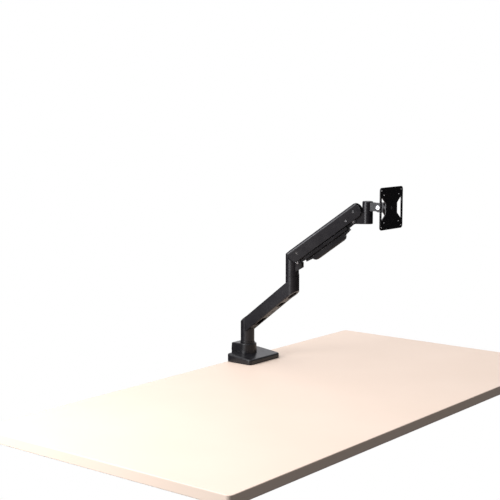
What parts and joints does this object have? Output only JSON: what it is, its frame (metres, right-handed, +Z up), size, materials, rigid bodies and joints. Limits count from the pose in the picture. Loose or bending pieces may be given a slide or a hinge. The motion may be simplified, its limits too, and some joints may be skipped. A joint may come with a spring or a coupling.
{
  "type": "monitor arm",
  "caption": "Gas-spring monitor arm with a desk clamp, swivelling lower arm, parallelogram upper arm and a tilting, turning screen plate.",
  "frame": {"origin": "the column's axis on the plane of the desk top that the base rests on", "axes": "+Z up; -Y towards the user, where the screen plate faces; +X to the user's right"},
  "size_m": [0.2135, 0.477, 0.647],
  "materials": {
    "coated_steel": "satin black powder coat",
    "coated_casting": "satin black powder coat over die casting",
    "black_plastic": "fine-grained black plastic",
    "rubber": "matt black rubber",
    "bright_steel": "bright zinc-plated steel",
    "black_steel": "black oxide or gloss black tube",
    "bearing_plastic": "black acetal"
  },
  "bodies": {
    "base": {"base_plate": "coated_steel", "base_pad": "rubber", "column_cover": "black_plastic", "clamp_bracket": "coated_steel", "bracket_screws": "bright_steel", "clamp_nut": "bright_steel", "pivot_post": "bright_steel", "column_collar": "black_plastic", "column_washer": "bearing_plastic"},
    "clamp_pad": {"clamp_pad": "bright_steel", "clamp_pad_rubber": "rubber"},
    "clamp_screw": {"clamp_screw": "bright_steel"},
    "clamp_bar": {"clamp_bar": "bright_steel", "clamp_bar_caps": "black_plastic"},
    "lower_arm": {"lower_arm": "coated_casting", "lower_cable_cover": "black_plastic", "column_bushes": "bearing_plastic", "swivel_lock_screw": "black_steel", "elbow_bushes": "bearing_plastic", "elbow_cap": "black_plastic"},
    "elbow": {"elbow_knuckle": "coated_casting", "elbow_shaft": "bright_steel", "elbow_washer": "bearing_plastic", "elbow_retainer": "bright_steel", "elbow_bolt": "bright_steel", "elbow_link_screws": "bright_steel", "elbow_pin": "bright_steel", "travel_stops": "rubber"},
    "tension_screw": {"tension_screw": "black_steel"},
    "trunnion": {"trunnion_block": "bright_steel"},
    "upper_arm": {"upper_shell": "coated_casting", "elbow_pin_bushes": "bearing_plastic", "head_pin_bushes": "bearing_plastic", "spring_pin": "bright_steel"},
    "lower_link": {"lower_link": "coated_steel", "upper_cable_cover": "black_plastic"},
    "gas_cylinder": {"gas_cylinder": "black_steel", "gas_cylinder_eye": "black_steel"},
    "gas_rod": {"gas_rod": "bright_steel", "rod_fork": "bright_steel"},
    "head_link": {"head_link": "coated_casting", "head_link_screws": "bright_steel", "head_pin": "bright_steel", "head_bush": "bearing_plastic", "head_washer": "bearing_plastic"},
    "head_swivel": {"swivel_bracket": "coated_casting", "swivel_shaft": "bright_steel", "swivel_retainer": "bright_steel"},
    "head_tilt": {"tilt_bracket": "coated_casting", "tilt_bolt": "bright_steel", "tilt_nut": "bright_steel", "tilt_washers": "bearing_plastic", "hub_washer": "bearing_plastic"},
    "screen_plate": {"plate_hub": "black_steel", "vesa_plate": "coated_steel", "centre_bolt": "bright_steel"}
  },
  "joints": [
    {"name": "clamp_travel", "type": "slide", "parent": "base", "child": "clamp_pad", "axis": [0, 0, 1], "range_m": [-0.032, 0.015]},
    {"name": "clamp_screw_turn", "type": "hinge", "parent": "clamp_pad", "child": "clamp_screw", "pos_m": [0, -0.012, -0.08], "axis": [0, 0, 1], "range_deg": [-5780, 2720]},
    {"name": "clamp_bar_slide", "type": "slide", "parent": "clamp_screw", "child": "clamp_bar", "axis": [0, 1, 0], "range_m": [-0.025, 0.025]},
    {"name": "base_swivel", "type": "hinge", "parent": "base", "child": "lower_arm", "pos_m": [0, 0, 0.075], "axis": [0, 0, 1], "range_deg": [-180, 180]},
    {"name": "elbow_swivel", "type": "hinge", "parent": "lower_arm", "child": "elbow", "pos_m": [0, -0.164, 0.262], "axis": [0, 0, 1], "range_deg": [-180, 180]},
    {"name": "arm_lift", "type": "hinge", "parent": "elbow", "child": "upper_arm", "pos_m": [0.00605, -0.17805, 0.3305], "axis": [-0.9184, -0.3955, 0], "range_deg": [-65, 8]},
    {"name": "lower_link_follow", "type": "hinge", "parent": "elbow", "child": "lower_link", "pos_m": [0.00653, -0.17915, 0.303], "axis": [-0.9184, -0.3955, 0], "range_deg": [-65.5, 8.5]},
    {"name": "head_level", "type": "hinge", "parent": "upper_arm", "child": "head_link", "pos_m": [0.06923, -0.32475, 0.45086], "axis": [-0.9184, -0.3955, 0], "range_deg": [-8.5, 65.5]},
    {"name": "gas_cylinder_swing", "type": "hinge", "parent": "upper_arm", "child": "gas_cylinder", "pos_m": [0.06127, -0.30625, 0.42442], "axis": [-0.9184, -0.3955, 0], "range_deg": [-1, 5.6]},
    {"name": "gas_rod_slide", "type": "slide", "parent": "gas_cylinder", "child": "gas_rod", "axis": [0.3141, -0.7294, 0.6077], "range_m": [-0.004, 0.024]},
    {"name": "tension_screw_turn", "type": "hinge", "parent": "elbow", "child": "tension_screw", "pos_m": [0.00208, -0.16884, 0.30992], "axis": [-0.238, 0.5527, 0.7986], "range_deg": [-721, 721]},
    {"name": "trunnion_travel", "type": "slide", "parent": "elbow", "child": "trunnion", "axis": [-0.238, 0.5527, 0.7986], "range_m": [-0.002, 0.002]},
    {"name": "head_swivel", "type": "hinge", "parent": "head_link", "child": "head_swivel", "pos_m": [0.08446, -0.36011, 0.45], "axis": [0, 0, 1], "range_deg": [-66, 113]},
    {"name": "head_tilt", "type": "hinge", "parent": "head_swivel", "child": "head_tilt", "pos_m": [0.08446, -0.40411, 0.465], "axis": [1, 0, 0], "range_deg": [-45, 45]},
    {"name": "plate_turn", "type": "hinge", "parent": "head_tilt", "child": "screen_plate", "pos_m": [0.08446, -0.43761, 0.465], "axis": [0, -1, 0], "range_deg": [-180, 180]}
  ],
  "couplings": [
    {"joint": "clamp_screw_turn", "follows": "clamp_travel", "rad_per_m": 3141.6},
    {"joint": "lower_link_follow", "follows": "arm_lift", "ratio": 1},
    {"joint": "head_level", "follows": "arm_lift", "ratio": -1},
    {"joint": "gas_cylinder_swing", "follows": "arm_lift", "ratio": -0.0705},
    {"joint": "gas_rod_slide", "follows": "arm_lift", "m_per_rad": -0.0175},
    {"joint": "tension_screw_turn", "follows": "trunnion_travel", "rad_per_m": 6283.2}
  ]
}
